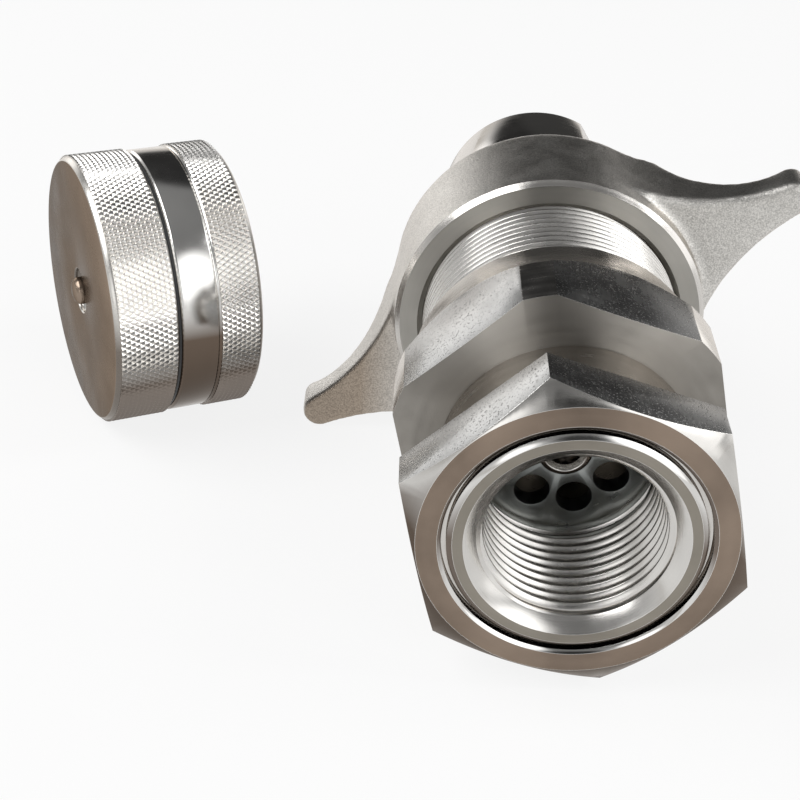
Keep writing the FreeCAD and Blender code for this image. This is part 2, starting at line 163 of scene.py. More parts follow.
# %% Lathe
def lathe(name, outline, steps=144):
    """Spin an outline of (radius, y) points, in millimetres, about the Y axis."""
    radius, y = outline[0]
    bpy.ops.mesh.primitive_plane_add(size=MM, location=(radius * MM, y * MM, 0))
    obj = bpy.context.active_object
    obj.name = obj.data.name = name
    apply_place(obj)
    edit_all(obj)
    bpy.ops.mesh.merge(type="CENTER")
    for (r0, y0), (r1, y1) in zip(outline, outline[1:]):
        step = ((r1 - r0) * MM, (y1 - y0) * MM, 0)
        bpy.ops.mesh.extrude_vertices_move(TRANSFORM_OT_translate={"value": step})
    if outline[0][0] > 0 or outline[-1][0] > 0:
        bpy.ops.object.mode_set(mode="OBJECT")
        obj.data.vertices[0].select = True
        bpy.ops.object.mode_set(mode="EDIT")
        bpy.ops.mesh.edge_face_add()
    bpy.ops.mesh.select_all(action="SELECT")
    bpy.ops.mesh.spin(steps=steps, angle=2 * math.pi, center=(0, 0, 0), axis=(0, 1, 0))
    close_mesh(1e-6)
    return obj


trial = lathe("trial_washer", [(10, 0), (20, 0), (20, 2), (10, 2)])
print("a washer of four points has", len(trial.data.polygons), "faces")
bpy.data.objects.remove(trial, do_unlink=True)

# %% [markdown]
# ## Cutting, joining and breaking edges
#
# A milled flat, a drilled hole or a welded-on form is a Boolean modifier that is applied at once. A real
# edge is never perfectly sharp: it is broken with a file, and that thin bevel is what catches the light.
# The Bevel modifier does it for all edges over an angle, and can give the bevel a finish of its own.

# %% Boolean, bevel and join
def carve(obj, tool, operation="DIFFERENCE", solver="EXACT"):
    """Cut obj with tool, join them or keep what they share, and throw the tool away."""
    modify(obj, "BOOLEAN", operation=operation, object=tool, solver=solver)
    bpy.data.objects.remove(tool, do_unlink=True)
    edit_all(obj)
    bpy.ops.mesh.remove_doubles(threshold=WELD)
    bpy.ops.object.mode_set(mode="OBJECT")
    return obj


def break_edges(obj, width, angle=25.0, finish=None):
    """Bevel all edges sharper than angle, width millimetres wide, in a finish that obj already has."""
    number = obj.data.materials.find(finish.name) if finish else -1
    return modify(obj, "BEVEL", width=width * MM, segments=2, limit_method="ANGLE",
                  angle_limit=math.radians(angle), material=number)


def join(obj, *others):
    """Make the other meshes part of obj."""
    only(obj)
    for other in others:
        other.select_set(True)
    bpy.ops.object.join()
    return obj


# %% [markdown]
# ## Camera
#
# The photograph was taken from close by: 21 cm in front of the port, 3 cm left of the coupler's axis and
# 16 cm above it. The camera's place and its 72 mm lens come from matching the hexagon's corners, the
# port's circle, the wing tips and the dust pair with the photograph.

# %% Camera
CAMERA_PLACE = (-0.0341836, -0.2136024, 0.1556460)
CAMERA_TURN = (1.0202163, -0.0556544, 0.0174446)
FILM_WIDTH, FOCAL_LENGTH = 36.0, 71.796
bpy.ops.object.camera_add(location=CAMERA_PLACE, rotation=CAMERA_TURN)
camera = bpy.context.active_object
camera.name = "photo_camera"
camera.data.sensor_width, camera.data.lens = FILM_WIDTH, FOCAL_LENGTH
camera.data.clip_start, camera.data.clip_end = 0.01, 20.0
bpy.context.scene.camera = camera
print("camera", [round(c, 3) for c in camera.location])

# %% [markdown]
# ## Studio
#
# Steel shows its surroundings more than itself. A pale floor alone would make it look like plaster, so
# the world is a room whose walls are brightest low down and fall off to a dim ceiling, with two large
# soft lamps. Round patches of the walls are brighter or darker, as windows and doorways are, because they
# make the bright and dark bands by which an eye knows steel. The camera sees the floor nearly white,
# while the floor keeps the soft shadow under the pieces.

# %% Tools for shader nodes
def plug(socket, value):
    """Link an output to a socket, or set the socket to a plain value."""
    if isinstance(value, bpy.types.NodeSocket):
        socket.id_data.links.new(value, socket)
    else:
        socket.default_value = value


def node(tree, kind, *sources, **settings):
    """Add a node. Sources feed its first sockets, and settings its properties and its named sockets."""
    added = tree.nodes.new(kind)
    properties = [key for key in settings if key in added.bl_rna.properties]
    for key in properties:
        setattr(added, key, settings[key])
    for socket, value in zip(added.inputs, sources):
        plug(socket, value)
    for key, value in settings.items():
        if key not in properties:
            plug(added.inputs[key.replace("_", " ")], value)
    return added


def colour_ramp(tree, source, stops):
    """Turn a value from 0 to 1 into the colours of the stops."""
    ramp = node(tree, "ShaderNodeValToRGB", source)
    elements = ramp.color_ramp.elements
    elements[0].position, elements[1].position = stops[0][0], stops[-1][0]
    for position, _ in stops[1:-1]:
        elements.new(position)
    for element, (_, colour) in zip(elements, stops):
        element.color = (*colour, 1)
    return ramp.outputs[0]


def cleared(holder):
    """The empty node tree of a material or a world."""
    holder.use_nodes = True
    holder.node_tree.nodes.clear()
    return holder.node_tree


# %% Floor
FLOOR_GAP = 0.05
PAPER_GREY, PAPER_GLOW = 0.82, 0.85
bpy.context.scene.view_settings.view_transform = "Standard"
bpy.ops.mesh.primitive_plane_add(size=6.0, location=(0, 0, (FLOOR - FLOOR_GAP) * MM))
floor = bpy.context.active_object
floor.name = "studio_floor"
paper = bpy.data.materials.new("studio_paper")
tree = cleared(paper)
ray = node(tree, "ShaderNodeLightPath").outputs
direct = node(tree, "ShaderNodeMath", ray["Is Camera Ray"], ray["Is Glossy Ray"], operation="MAXIMUM")
seen = node(tree, "ShaderNodeMath", direct.outputs[0], ray["Is Transmission Ray"], operation="MAXIMUM")
share = node(tree, "ShaderNodeMath", seen.outputs[0], PAPER_GLOW, operation="MULTIPLY")
lit = node(tree, "ShaderNodeBsdfDiffuse", Color=(PAPER_GREY, PAPER_GREY, PAPER_GREY, 1))
white = node(tree, "ShaderNodeEmission", Color=(1, 1, 1, 1), Strength=1.0)
blend = node(tree, "ShaderNodeMixShader", share.outputs[0], lit.outputs[0], white.outputs[0])
node(tree, "ShaderNodeOutputMaterial", blend.outputs[0])
floor.data.materials.append(paper)
print("floor at z =", round(floor.location.z, 5), "m")

# %% World: a dim room with windows
WALL_LIGHT = ((0.0, (0.62, 0.60, 0.57)), (0.12, (0.75,) * 3), (0.30, (0.50,) * 3), (0.50, (0.28,) * 3),
              (0.75, (0.20,) * 3), (1.0, (0.26,) * 3))
# Each patch has a direction, the angles where its edge starts and ends, in degrees, and a brightness.
PATCHES = {"dark_doorway": ((0.03, 0.82, 0.55), 25, 34, 0.03),
           "dark_wall": ((0.18, 0.94, 0.24), 10, 18, 0.05),
           "window_right": ((0.96, -0.02, 0.16), 12, 26, 1.6),
           "window_back_left": ((-0.57, 0.81, 0.13), 10, 18, 1.8),
           "window_back_right": ((0.62, 0.78, 0.03), 6, 13, 1.9),
           "window_front_right": ((0.58, -0.68, 0.40), 13, 25, 2.2),
           "low_window_front_right": ((0.68, -0.72, 0.06), 8, 17, 1.6),
           "window_front_left": ((-0.43, -0.87, 0.24), 7, 13, 1.8),
           "dark_front": ((0.05, -0.92, 0.40), 7, 16, 0.04)}
world = bpy.data.worlds.new("studio_room")
bpy.context.scene.world = world
tree = cleared(world)
way = node(tree, "ShaderNodeTexCoord").outputs["Generated"]
light = colour_ramp(tree, node(tree, "ShaderNodeSeparateXYZ", way).outputs["Z"], WALL_LIGHT)
for name, (direction, inner, outer, level) in PATCHES.items():
    nearness = node(tree, "ShaderNodeVectorMath", way, Vector(direction).normalized(),
                    operation="DOT_PRODUCT")
    edge = node(tree, "ShaderNodeMapRange", nearness.outputs["Value"], math.cos(math.radians(outer)),
                math.cos(math.radians(inner)), interpolation_type="SMOOTHSTEP")
    patch = node(tree, "ShaderNodeMix", label=name, data_type="RGBA", Factor=edge.outputs["Result"],
                 A=light, B=(level, level, level, 1))
    light = patch.outputs["Result"]
glow = node(tree, "ShaderNodeBackground", light, Strength=1.0)
node(tree, "ShaderNodeOutputWorld", glow.outputs[0])
print("patches on the walls:", len(PATCHES))


# %% Lamps
def softbox(name, place, aim, size, power):
    """A large area lamp at place, looking at aim."""
    bpy.ops.object.light_add(type="AREA", location=place)
    lamp = bpy.context.active_object
    lamp.name = name
    lamp.data.shape, lamp.data.energy = "RECTANGLE", power
    lamp.data.size, lamp.data.size_y = size
    lamp.rotation_euler = (Vector(aim) - Vector(place)).to_track_quat("-Z", "Y").to_euler()
    print(lamp.name, "of", power, "W")


softbox("lamp_above_left", (-0.60, -0.10, 0.70), (0, 0.03, 0), (0.80, 0.60), 6.0)
softbox("lamp_above_right", (0.70, 0.05, 0.60), (0, 0.05, 0), (0.40, 0.40), 2.5)

# %% [markdown]
# ## Steel finishes
#
# All the metal is the same stainless steel. What differs is how its surface was made, and that shows in
# the direction of the fine marks, their depth, and how rough the skin is. Turning leaves rings, so its
# noise is read from the radius and the place along the axis, and on a face it also stretches the
# highlights outward, into fans. Drawn bar keeps long scratches and small pits. A casting that was blasted
# with grit has an even grain. Several finishes have a painted brown reflection of the floor and a painted
# shadow on their lower sides, and one wing has a painted dark reflection on its front. Every finish is
# made by one function with different amounts.

# %% One function for every steel
# A noise's number says how often its pattern comes in a metre. Places and heights here are in metres too.
CLOUDS, SKIN_NOISE, DUST = 60.0, 160.0, 420.0
BROAD_RINGS, FINE_RINGS = 900.0, 3600.0
SCRATCH_NOISE, PIT_NOISE, PIT_GROUPS = 2600.0, 2400.0, 110.0
# The left wing's front gets a painted dark brown reflection, fading in between these two x places, in metres.
WING_REFLECTION_BROWN, WING_REFLECTION_END, WING_REFLECTION_START = (0.50, 0.41, 0.33, 1), -0.038, -0.026
# Painted underside: a near black shadow at the bottom, then a brown reflection of the floor, then no change.
UNDERSIDE_REFLECTION_SHADE = ((0.12, (0.03, 0.02, 0.015)), (0.30, (0.10, 0.07, 0.05)), (0.50, (0.16, 0.115, 0.085)),
              (0.62, (1, 1, 1)))
LYING_SHADE_HEIGHT, LYING_SHADE_FADE = -0.013, 36.0


def new_material(name):
    """A new material with its node tree and its shader."""
    material = bpy.data.materials.new(name)
    material.use_nodes = True
    return material, material.node_tree, material.node_tree.nodes["Principled BSDF"]


def steel(name, colour, roughness, rings=0.0, lay=0.0, grain=0.0, grain_size=0.3, pits=0.0, scratches=0.0,
          blotches=0.1, hollow_shade=0.0, grazing=1.0, underside_shade=0.0, lying=False, wing_reflection=0.0, stretch=0.0):
    """Bare stainless steel. Amounts run from 0 to about 1, and grain_size is in millimetres.

    rings mottle the gloss of a turned face and lay is their depth. grazing is how bright the rim of a form
    gets, and stretch draws highlights outward. The underside amount paints a brown floor reflection and a
    shadow on the lower sides, read from the height if lying. The hollow amount paints shade in hollows,
    and the wing amount a dark brown reflection on the front of the left wing.
    """
    material, tree, shader = new_material(name)
    place = node(tree, "ShaderNodeTexCoord").outputs["Object"]

    def noise(vector, scale, detail=3.0, rough=0.55):
        return node(tree, "ShaderNodeTexNoise", Vector=vector, Scale=scale, Detail=detail,
                    Roughness=rough).outputs["Fac"]

    def spread(value, low, high, new_low, new_high):
        return node(tree, "ShaderNodeMapRange", value, low, high, new_low, new_high).outputs["Result"]

    def combined(kind, first, second):
        return node(tree, "ShaderNodeMath", first, second, operation=kind).outputs[0]

    def layered(under, over, factor=1.0):
        return node(tree, "ShaderNodeMix", data_type="RGBA", blend_type="MULTIPLY", Factor=factor, A=under,
                    B=over).outputs["Result"]

    x, y, z = node(tree, "ShaderNodeSeparateXYZ", place).outputs
    shade = spread(noise(place, CLOUDS), 0.3, 0.7, 1.0 - blotches, 1.0 + 0.4 * blotches)
    height = combined("MULTIPLY", noise(place, DUST, 2.0), 0.02)
    skin = spread(noise(place, SKIN_NOISE), 0.3, 0.7, -0.05, 0.06)
    if rings:
        squares = combined("ADD", combined("MULTIPLY", x, x), combined("MULTIPLY", z, z))
        around = node(tree, "ShaderNodeCombineXYZ", combined("SQRT", squares, 0.0), y).outputs[0]
        broad = noise(around, BROAD_RINGS, 2.0)
        height = combined("ADD", height, combined("MULTIPLY", noise(around, FINE_RINGS, 2.0), lay))
        skin = combined("ADD", skin, spread(broad, 0.3, 0.7, -0.10 * rings, 0.12 * rings))
        shade = combined("MULTIPLY", shade, spread(broad, 0.35, 0.65, 1.0 - 0.14 * rings, 1.0))
    if grain:
        coarse = noise(place, 0.5 / (grain_size * MM), 4.0, 0.6)
        height = combined("ADD", height, combined("MULTIPLY", coarse, grain))
        mottle = spread(coarse, 0.35, 0.65, 1.0 - 0.14 * grain, 1.0 + 0.06 * grain)
        shade = combined("MULTIPLY", shade, mottle)
    if scratches:
        long = node(tree, "ShaderNodeMapping", Vector=place, Scale=(1.0, 0.05, 1.0)).outputs[0]
        lines = noise(long, SCRATCH_NOISE, 3.0, 0.7)
        height = combined("ADD", height, combined("MULTIPLY", lines, 0.4 * scratches))
        skin = combined("ADD", skin, spread(lines, 0.35, 0.65, -0.08 * scratches, 0.10 * scratches))
        shade = combined("MULTIPLY", shade, spread(lines, 0.35, 0.65, 1.0 - 0.22 * scratches, 1.05))
    if pits:
        spots = spread(noise(place, PIT_NOISE, 2.0, 0.5), 0.60, 0.68, 0.0, 1.0)
        holes = combined("MULTIPLY", spots, spread(noise(place, PIT_GROUPS, 2.0), 0.40, 0.60, 0.5, 1.0))
        height = combined("SUBTRACT", height, combined("MULTIPLY", holes, 0.8 * pits))
        skin = combined("ADD", skin, combined("MULTIPLY", holes, 0.2))
        darkness = combined("MULTIPLY", holes, 0.55 * pits)
        shade = combined("MULTIPLY", shade, combined("SUBTRACT", 1.0, darkness))
    # Painted shade: the colour gets darker where the surface is hollow, as in the knurl's grooves.
    if hollow_shade:
        corner = node(tree, "ShaderNodeNewGeometry").outputs["Pointiness"]
        shade = combined("MULTIPLY", shade, spread(corner, 0.40, 0.50, 1.0 - hollow_shade, 1.0))

    grey = node(tree, "ShaderNodeCombineColor", shade, shade, shade).outputs[0]
    base = layered((*colour, 1), grey)
    if wing_reflection or underside_shade:
        normal = node(tree, "ShaderNodeNewGeometry").outputs["Normal"]
        facing = node(tree, "ShaderNodeSeparateXYZ", normal).outputs
    # Painted reflection: the front of the left wing is made darker and browner.
    if wing_reflection:
        front = spread(facing["Y"], -0.75, -0.35, wing_reflection, 0.0)
        on_wing = spread(x, WING_REFLECTION_END, WING_REFLECTION_START, 1.0, 0.0)
        base = layered(base, WING_REFLECTION_BROWN, combined("MULTIPLY", front, on_wing))
    # Painted brown floor reflection and painted shadow on the sides that face down; a lying piece reads them
    # from its height.
    if underside_shade:
        level = facing["Z"]
        if lying:
            level = combined("MULTIPLY", combined("ADD", z, -LYING_SHADE_HEIGHT), LYING_SHADE_FADE)
        base = layered(base, colour_ramp(tree, spread(level, -1.0, 1.0, 0.0, 1.0), UNDERSIDE_REFLECTION_SHADE), underside_shade)
    bump = node(tree, "ShaderNodeBump", Height=height, Strength=0.35, Distance=0.12 * MM)
    if stretch:
        outward = node(tree, "ShaderNodeCombineXYZ", x, 0.0, z)
        plug(shader.inputs["Tangent"], outward.outputs[0])
    for socket, value in (("Metallic", 1.0), ("Base Color", base), ("Normal", bump.outputs[0]),
                          ("Roughness", combined("ADD", skin, roughness)), ("Anisotropic", stretch),
                          ("Specular Tint", (grazing, 0.96 * grazing, 0.92 * grazing, 1))):
        plug(shader.inputs[socket], value)
    return material


# %% The finishes
turned = steel("steel_turned", (0.64, 0.62, 0.59), 0.20, rings=0.5, lay=0.05)
# Painted brown reflection of the floor, for the first hexagon's faces.
brown_reflection_face = steel("steel_brown_reflection_face", (0.30, 0.235, 0.185), 0.45, rings=0.35, lay=0.1, blotches=0.18,
                   grazing=0.45, stretch=0.9)
turned_face = steel("steel_turned_face", (0.50, 0.485, 0.45), 0.42, rings=0.6, lay=0.15, blotches=0.14,
                    grazing=0.8, stretch=0.85)
# Painted shade on the second hexagon's front face, in the corner behind the first.
corner_shade_face = steel("steel_corner_shade_face", (0.38, 0.36, 0.33), 0.46, rings=0.4, lay=0.1, grazing=0.6,
                  stretch=0.95)
# Painted brown reflection of the floor on the ring face around the port.
ring_face = steel("steel_ring_face", (0.30, 0.275, 0.235), 0.38, rings=0.7, lay=0.2, blotches=0.12,
                  grazing=0.6, stretch=0.8)
# Painted brown reflection and shade for the plug's face and the studs.
plug_face = steel("steel_plug_face", (0.30, 0.235, 0.185), 0.26, scratches=0.15, blotches=0.2, grazing=0.45)
# plain, bright, coned, polished and knurled steel carry the painted floor reflection and shadow underneath.
plain = steel("steel_plain", (0.62, 0.605, 0.575), 0.27, scratches=0.1, blotches=0.12, underside_shade=0.8)
bright = steel("steel_bright", (0.72, 0.71, 0.69), 0.15, blotches=0.06, underside_shade=0.97)
coned = steel("steel_coned", (0.60, 0.585, 0.56), 0.18, rings=0.25, lay=0.03, blotches=0.12, underside_shade=0.95)
threaded = steel("steel_threaded", (0.66, 0.645, 0.62), 0.22, rings=0.5, lay=0.06, grain=0.06,
                 blotches=0.12)
polished = steel("steel_polished", (0.70, 0.69, 0.67), 0.11, rings=0.25, lay=0.02, blotches=0.08, underside_shade=0.9)
drawn_bar = steel("steel_drawn_bar", (0.42, 0.42, 0.415), 0.25, pits=0.8, scratches=0.15, blotches=0.12)
# Filed edges: worn bare steel, made brighter still as a painted highlight along them.
edge_wear_and_highlight = steel("steel_edge_wear_and_highlight", (0.82, 0.81, 0.79), 0.22, grain=0.1)
# The cast nut carries a painted dark reflection on the front of its left wing.
cast = steel("steel_cast_blasted", (0.64, 0.625, 0.595), 0.34, grain=2.4, grain_size=0.16, blotches=0.08,
             wing_reflection=0.9)
# Knurled steel also has painted shade in its grooves.
knurled = steel("steel_knurled", (0.80, 0.785, 0.76), 0.22, grain=0.15, grain_size=0.25, hollow_shade=0.5,
                underside_shade=0.85, lying=True)
dull = steel("steel_dull", (0.42, 0.44, 0.43), 0.34, rings=0.4, lay=0.15, blotches=0.2)
# Painted shade inside the bores and behind the guide plate.
painted_bore_shade = steel("steel_painted_bore_shade", (0.13, 0.12, 0.105), 0.30, rings=0.3, lay=0.1, grazing=0.5)
spring_wire = steel("steel_spring_wire", (0.48, 0.48, 0.49), 0.30, scratches=0.3)
print("steel finishes:", len([m for m in bpy.data.materials if m.name.startswith("steel")]))

# %% [markdown]
# ## Rubber and plastic
#
# Seal rings are black nitrile rubber: dark, slightly dusty and only faintly glossy, with a fine grain.
# The backup ring is white PTFE, which is waxy and lets a little light into its skin.

# %% Rubber and PTFE
def moulded(name, colour, roughness, grain_scale, bump_height, sheen):
    """A moulded seal material: fine grain, slightly uneven colour and gloss."""
    material, tree, shader = new_material(name)
    place = node(tree, "ShaderNodeTexCoord").outputs["Object"]
    fine = node(tree, "ShaderNodeTexNoise", Vector=place, Scale=grain_scale, Detail=4.0).outputs["Fac"]
    wide = node(tree, "ShaderNodeTexNoise", Vector=place, Scale=140.0, Detail=2.0).outputs["Fac"]
    darker, lighter = [(*[min(1.0, part * share) for part in colour], 1) for share in (0.8, 1.25)]
    colours = node(tree, "ShaderNodeMix", data_type="RGBA", Factor=wide, A=darker, B=lighter)
    gloss = node(tree, "ShaderNodeMapRange", fine, 0.0, 1.0, roughness - 0.08, roughness + 0.1)
    bump = node(tree, "ShaderNodeBump", Height=fine, Strength=0.3, Distance=bump_height * MM)
    for socket, value in (("Sheen Weight", sheen), ("Base Color", colours.outputs["Result"]),
                          ("Roughness", gloss.outputs["Result"]), ("Normal", bump.outputs[0])):
        plug(shader.inputs[socket], value)
    return material


rubber = moulded("black_nitrile_rubber", (0.022, 0.022, 0.023), 0.55, 2600.0, 0.06, 0.15)
ptfe = moulded("waxy_white_ptfe", (0.80, 0.79, 0.76), 0.38, 1500.0, 0.03, 0.0)
print("seal materials:", rubber.name, ptfe.name)

# %% [markdown]
# ## Handing a finished piece over
#
# A finished piece moves to the shared origin, loses stray edges, gets its finish, and rides on the same
# body as the CAD solid that it stands for. A piece with several finishes is painted face by face: where
# a face lies and where it looks tell which tool made it.

# %% Finish and paint a piece
SHARP_ANGLE = 32
pieces = []


def finish_piece(obj, material_slot, finish, *stands_for):
    """Place, shade and hand over a piece that stands for a CAD solid. A painted piece needs no finish."""
    obj.location.y -= ORIGIN * MM
    edit_all(apply_place(obj))
    bpy.ops.mesh.delete_loose()
    bpy.ops.object.mode_set(mode="OBJECT")
    bpy.ops.object.shade_smooth_by_angle(angle=math.radians(SHARP_ANGLE))
    if finish:
        obj.data.materials.append(finish)
    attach(obj, nodes[stands_for[0]]["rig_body"])
    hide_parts(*stands_for)
    pieces.append(obj)
    print(obj.name, "has", len(obj.data.polygons), "faces")
    return obj


def paint(obj, finishes, choose):
    """Give each face the finish that choose picks from its widest radius, its middle's y and its normal."""
    obj.data.materials.clear()
    for material in finishes:
        obj.data.materials.append(material)
    for face in obj.data.polygons:
        corners = [obj.data.vertices[i].co for i in face.vertices]
        radius = max(math.hypot(corner.x, corner.z) for corner in corners)
        face.material_index = finishes.index(choose(radius / MM, face.center.y / MM, face.normal))


# %% [markdown]
# ## Threads
#
# A thread is a ridge that winds round the axis. Its section is a small plane with its outer edge narrowed
# to a rounded crest, and the Screw modifier carries it round and along by one pitch a turn. Both ends
# sink into the wall over a part of a turn, as a real thread runs out. The ports have the one-inch pipe
# thread with 11 turns to the inch, and the halves join with a 52 mm thread of 2 mm pitch. A crest inside
# its root is an inner thread.

# %% Thread ridge
PORT_THREAD = {"root": 16.66, "crest": 15.45, "pitch": 25.4 / 11, "crest_width": 0.34, "root_width": 1.90}
CHAMFER = 24.97
OUTER_THREAD = {"root": 24.72, "crest": 25.97, "pitch": 2.0, "crest_width": 0.34, "root_width": 1.75}
NUT_THREAD = {"root": 26.08, "crest": 24.98, "pitch": 2.0, "crest_width": 0.36, "root_width": 1.50}
CREST_ROUNDING, SUNK = 0.12, 0.1
THREAD_STEPS, RUN_OUT_STEPS = 96, 10


def thread_ridge(name, start, turns, root, crest, pitch, crest_width, root_width):
    """A right-hand ridge that starts at y = start and stands from the root radius to the crest radius."""
    bpy.ops.mesh.primitive_plane_add(size=1.0)
    ridge = bpy.context.active_object
    ridge.name = ridge.data.name = name
    for vertex in ridge.data.vertices:
        vertex.select = vertex.co.x > 0
        radius, width = (crest, crest_width) if vertex.select else (root, root_width)
        vertex.co = (radius * MM, (start + math.copysign(width / 2, vertex.co.y)) * MM, 0)
    bpy.ops.object.mode_set(mode="EDIT")
    bpy.ops.mesh.select_mode(type="VERT")
    bpy.ops.mesh.bevel(offset=CREST_ROUNDING * MM, segments=2, affect="VERTICES")
    bpy.ops.object.mode_set(mode="OBJECT")
    section = len(ridge.data.vertices)
    steps = int(THREAD_STEPS * turns)
    modify(ridge, "SCREW", axis="Y", angle=2 * math.pi * turns, screw_offset=pitch * turns * MM,
           steps=steps, render_steps=steps)
    last = len(ridge.data.vertices) // section - 1
    for vertex in ridge.data.vertices:
        step = vertex.index // section
        share = min(1.0, min(step, last - step) / RUN_OUT_STEPS)
        radius = math.hypot(vertex.co.x, vertex.co.z)
        kept = root + (radius / MM - root) * share + SUNK * (1 - share) * math.copysign(1, root - crest)
        vertex.co.x *= kept * MM / radius
        vertex.co.z *= kept * MM / radius
    edit_all(ridge)
    bpy.ops.mesh.fill_holes(sides=section)
    bpy.ops.mesh.select_all(action="SELECT")
    bpy.ops.mesh.normals_make_consistent(inside=False)
    bpy.ops.object.mode_set(mode="OBJECT")
    ridge.data.materials.append(threaded)
    print(name, "winds", turns, "turns")
    return ridge


def trim_ridge(ridge, limit, keep_outside):
    """Trim a ridge with a cone, as the countersink or the chamfer at the thread's start does."""
    for vertex in ridge.data.vertices:
        radius = math.hypot(vertex.co.x, vertex.co.z)
        edge = limit(vertex.co.y / MM) * MM
        wanted = max(radius, edge) if keep_outside else min(radius, edge)
        vertex.co.x *= wanted / radius
        vertex.co.z *= wanted / radius
    return ridge


# %% [markdown]
# ## Port adapter: the first hexagon
#
# This is the end that the hose screws into. On the real part it is turned from hexagonal bar: the flats
# keep the skin of the bar, a 30 degree cone takes off the corners, and the face carries a ring groove
# around the port. So the mesh is a six-sided cylinder, kept where it lies inside a turned cone, with the
# turned neck joined to it and the bore and groove cut out. The turned forms are set off by part of a
# step, so that none of their edges falls on an edge of the hexagon, where a Boolean is least sure.

# %% Hexagonal bar
HEX_TURN, TOOL_TURN = 14.0, 1.5


def hexagon_bar(name, flats, start, end):
    """Hexagonal bar along Y with one corner HEX_TURN degrees past the top."""
    bpy.ops.mesh.primitive_cylinder_add(
        vertices=6, radius=flats / math.sqrt(3) * MM, depth=(end - start) * MM,
        location=(0, (start + end) / 2 * MM, 0), rotation=(math.pi / 2, 0, 0))
    bar = apply_place(bpy.context.active_object)
    bar.name = bar.data.name = name
    corner = bar.data.vertices[0].co
    return turn(bar, 90 + HEX_TURN - math.degrees(math.atan2(corner.z, corner.x)))


def on_flat(normal):
    """Whether a normal is that of one of the bar's six flats."""
    off = (math.degrees(math.atan2(normal.z, normal.x)) - HEX_TURN + 30) % 60 - 30
    return abs(normal.y) < 0.1 and abs(off) < 3


def turned_tool(name, outline):
    """A turned form that is joined to a hexagon or cut out of it."""
    return turn(lathe(name, outline), TOOL_TURN)


# %% Port adapter
FIRST_FLATS, FIRST_BACK = 54.0, 10.4
SHANK, SHANK_BACK = 22.8, 26.6
SPIGOT, SPIGOT_BACK = 21.0, 43.9
PORT_BORE, GUIDE_SEAT, GUIDE_BORE = 16.62, 28.6, 17.88
COUNTERSINK, COUNTERSINK_SLOPE = 18.87, 1.0114
adapter = hexagon_bar("port_adapter", FIRST_FLATS, 0, FIRST_BACK)
carve(adapter, turned_tool("cone", [(0, 0), (26.75, 0), (32.0, 3.03), (32.0, 10.0), (31.4, FIRST_BACK),
                                    (0, FIRST_BACK)]), "INTERSECT")
carve(adapter, turned_tool("shank", [
    (0, 9.0), (23.2, 9.0), (23.2, 10.3), (22.95, 10.65), (SHANK, 11.1), (SHANK, SHANK_BACK - 0.2),
    (SHANK - 0.2, SHANK_BACK), (SPIGOT, SHANK_BACK), (SPIGOT, 28.75), (19.5, 28.75), (19.5, 30.45),
    (SPIGOT, 30.45), (SPIGOT, SPIGOT_BACK - 0.6), (SPIGOT - 0.6, SPIGOT_BACK), (0, SPIGOT_BACK)]), "UNION")
carve(adapter, turned_tool("bore", [
    (0, -1), (19.86, -1), (18.85, 0), (PORT_BORE, 2.2), (PORT_BORE, 25.2), (17.2, 25.4), (17.2, 26.4),
    (PORT_BORE, 26.6), (PORT_BORE, GUIDE_SEAT), (GUIDE_BORE, GUIDE_SEAT), (GUIDE_BORE, 44.9), (0, 44.9)]))
carve(adapter, turned_tool("groove", [(20.1, -0.3), (20.65, 0.0), (21.6, 0.5), (21.6, 2.4), (22.5, 2.4),
                                      (22.5, 0.45), (23.15, 0), (23.7, -0.35)]))


def adapter_finish(radius, y, normal):
    """The finish of a face of the port adapter."""
    if y < 10.6 and radius > 23.4 and on_flat(normal):
        return drawn_bar
    # Faces at the front and back of the hexagon take a painted brown reflection of the floor.
    if y < 0.1 and normal.y < -0.99:
        return brown_reflection_face if radius > 22 else ring_face
    if radius > 26 and -0.99 < normal.y < -0.5:
        return coned
    if radius > 26 and normal.y > 0.5:
        return brown_reflection_face
    if y < 2.3 and 20.5 < radius < 23.3:
        return polished
    return threaded if radius < 18.9 and y < 28 else turned


paint(adapter, (turned, drawn_bar, brown_reflection_face, ring_face, coned, polished, threaded, edge_wear_and_highlight),
      adapter_finish)
break_edges(adapter, 0.13, finish=edge_wear_and_highlight)
port_thread = thread_ridge("port_thread", start=1.6, turns=10.1, **PORT_THREAD)
trim_ridge(port_thread, lambda y: COUNTERSINK - y * COUNTERSINK_SLOPE, keep_outside=True)
join(adapter, port_thread)
finish_piece(adapter, "stainless_turned", None, "front_port_adapter")

# %% [markdown]
# ## Male body: the second hexagon, the collar and the thread
#
# The second hexagon is larger, with a cone on both sides. Behind it come a plain collar, a run-out groove
# and the 52 mm thread that the wing nut grips. The open end is a deep cup around an island, where the
# valve sits.

